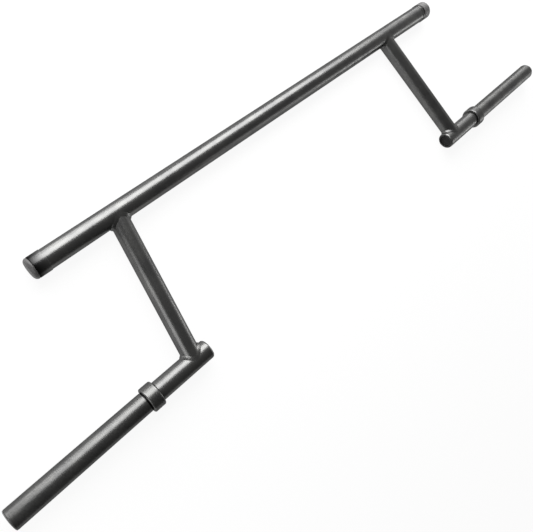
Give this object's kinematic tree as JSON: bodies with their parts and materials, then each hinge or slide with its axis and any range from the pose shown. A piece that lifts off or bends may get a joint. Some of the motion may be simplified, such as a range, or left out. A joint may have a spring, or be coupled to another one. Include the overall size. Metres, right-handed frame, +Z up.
{
  "type": "cambered row bar",
  "caption": "Cambered row bar: a straight bar with two splayed posts, each carrying a collared weight sleeve that turns freely, set below the bar and parallel to it.",
  "frame": {"origin": "on the floor under the middle of the bar as it lies flat (bottom centre of its box)", "axes": "+X along the bar and the sleeves, +Y from the sleeves towards the straight bar, +Z up"},
  "size_m": [2.083, 0.4372, 0.0645],
  "materials": {
    "bar_finish": "satin graphite, glossier where hands and hooks rub it",
    "frame_finish": "satin graphite powder coat",
    "sleeve_finish": "satin graphite, finely grained",
    "weld": "coated weld bead",
    "plug_plastic": "matt moulded plastic",
    "cap_finish": "satin moulded plastic",
    "bright_steel": "turned",
    "bronze": "turned bronze"
  },
  "bodies": {
    "frame": {"main_bar": "bar_finish", "left_bar_end_ring": "bar_finish", "left_bar_end_plug": "plug_plastic", "left_post": "frame_finish", "left_post_top_weld": "weld", "left_post_foot_weld": "weld", "left_stub_tube": "frame_finish", "left_stub_plug": "plug_plastic", "left_spindle": "bright_steel", "left_thrust_washer": "bronze", "left_retaining_washer": "bright_steel", "left_snap_ring": "bright_steel", "right_bar_end_ring": "bar_finish", "right_bar_end_plug": "plug_plastic", "right_post": "frame_finish", "right_post_top_weld": "weld", "right_post_foot_weld": "weld", "right_stub_tube": "frame_finish", "right_stub_plug": "plug_plastic", "right_spindle": "bright_steel", "right_thrust_washer": "bronze", "right_retaining_washer": "bright_steel", "right_snap_ring": "bright_steel"},
    "left_sleeve_assembly": {"left_sleeve": "sleeve_finish", "left_sleeve_collar": "sleeve_finish", "left_inner_bushing": "bronze", "left_outer_bushing": "bronze", "left_sleeve_end_cap": "cap_finish"},
    "right_sleeve_assembly": {"right_sleeve": "sleeve_finish", "right_sleeve_collar": "sleeve_finish", "right_inner_bushing": "bronze", "right_outer_bushing": "bronze", "right_sleeve_end_cap": "cap_finish"}
  },
  "joints": [
    {"name": "left_sleeve_spin", "type": "hinge", "parent": "frame", "child": "left_sleeve_assembly", "pos_m": [-0.85, -0.18639, 0.03224], "axis": [1, 0, 0], "continuous": true},
    {"name": "right_sleeve_spin", "type": "hinge", "parent": "frame", "child": "right_sleeve_assembly", "pos_m": [0.85, -0.18639, 0.03224], "axis": [1, 0, 0], "continuous": true}
  ]
}
